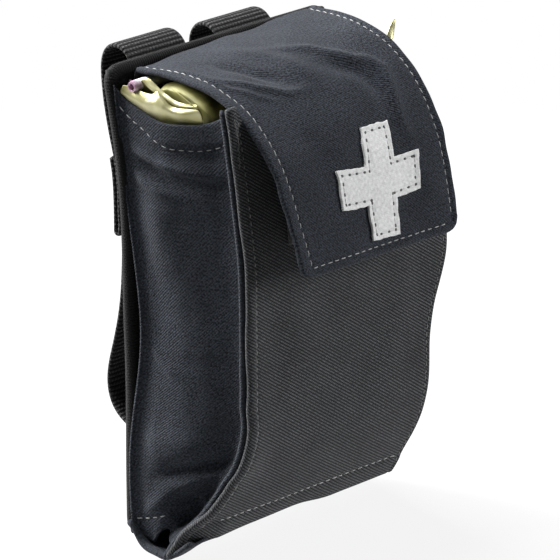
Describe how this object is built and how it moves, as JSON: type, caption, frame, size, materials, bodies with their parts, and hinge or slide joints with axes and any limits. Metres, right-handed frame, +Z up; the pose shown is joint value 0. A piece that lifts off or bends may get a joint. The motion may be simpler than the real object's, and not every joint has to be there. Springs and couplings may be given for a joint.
{
  "type": "first aid belt pouch",
  "caption": "Black nylon belt pouch with a fold-over flap, sewn cross patch and snap belt straps, holding a folded windlass tourniquet and foil dressing packets.",
  "frame": {"origin": "middle of the flat underside of the base panel", "axes": "+X to the wearer's right seen from the front, +Y towards the belt behind the pouch, +Z up"},
  "size_m": [0.1, 0.0875, 0.1606],
  "materials": {
    "ripstop_twill": "fine twill nylon, matt, faint sheen",
    "coarse_twill": "coarse diagonal rib nylon, matt",
    "edge_binding": "black folded binding tape",
    "seam_binding": "folded seam allowance, twill",
    "black_webbing": "ribbed nylon webbing",
    "lining_cloth": "plain nylon lining",
    "foam_board": "closed-cell foam, hidden",
    "hook_and_loop": "hook-and-loop tape",
    "white_patch": "pale woven patch, stitched",
    "gold_foil": "crumpled foil laminate over a soft dressing",
    "olive_foil": "crumpled foil laminate over a soft dressing",
    "white_paper": "rolled coated paper",
    "black_snap": "black-oxidised press stud",
    "tourniquet_webbing": "folded hook-and-loop webbing",
    "tourniquet_plastic": "moulded plastic"
  },
  "bodies": {
    "pouch": {"back_edge_binding": "edge_binding", "back_foam_board": "foam_board", "back_panel_cover": "ripstop_twill", "back_panel_lining": "lining_cloth", "base_panel": "ripstop_twill", "flap_seam_tape": "seam_binding", "foil_packet_front": "gold_foil", "foil_packet_left": "olive_foil", "foil_sachet": "gold_foil", "front_bottom_hem": "seam_binding", "front_panel": "coarse_twill", "front_seam_binding_left": "seam_binding", "front_seam_binding_right": "seam_binding", "front_top_hem": "seam_binding", "loop_tape": "hook_and_loop", "lower_strap_left": "black_webbing", "lower_strap_right": "black_webbing", "paper_roll": "white_paper", "rear_seam_binding_left": "seam_binding", "rear_seam_binding_right": "seam_binding", "side_gusset_left": "ripstop_twill", "side_gusset_right": "ripstop_twill", "snap_back_plates": "black_snap", "snap_studs": "black_snap", "strap_anchor_left": "black_webbing", "strap_anchor_right": "black_webbing", "strap_loop_left": "black_webbing", "strap_loop_right": "black_webbing", "time_strap": "white_paper", "tourniquet_buckle": "tourniquet_plastic", "tourniquet_plate": "tourniquet_plastic", "tourniquet_strap": "tourniquet_webbing", "windlass_clip": "tourniquet_plastic", "windlass_rod": "tourniquet_plastic"},
    "flap_top": {"flap_top_cover": "ripstop_twill", "flap_top_lining": "lining_cloth"},
    "flap_front": {"flap_front_cover": "ripstop_twill", "flap_front_lining": "lining_cloth", "hook_tape": "hook_and_loop", "cross_patch": "white_patch"},
    "belt_strap_left": {"belt_strap_left": "black_webbing", "strap_end_hem_left": "black_webbing", "snap_cap_left": "black_snap", "snap_socket_left": "black_snap"},
    "belt_strap_right": {"belt_strap_right": "black_webbing", "strap_end_hem_right": "black_webbing", "snap_cap_right": "black_snap", "snap_socket_right": "black_snap"}
  },
  "joints": [
    {"name": "flap_lift", "type": "hinge", "parent": "pouch", "child": "flap_top", "pos_m": [0, 0.0165, 0.1576], "axis": [-1, 0, 0], "range_deg": [0, 120]},
    {"name": "flap_fold", "type": "hinge", "parent": "flap_top", "child": "flap_front", "pos_m": [0, -0.0313, 0.14575], "axis": [-1, 0, 0], "range_deg": [0, 75]},
    {"name": "belt_strap_left_open", "type": "hinge", "parent": "pouch", "child": "belt_strap_left", "pos_m": [0, 0.02941, 0.16065], "axis": [1, 0, 0], "range_deg": [0, 100]},
    {"name": "belt_strap_right_open", "type": "hinge", "parent": "pouch", "child": "belt_strap_right", "pos_m": [0, 0.02941, 0.16065], "axis": [1, 0, 0], "range_deg": [0, 100]}
  ]
}
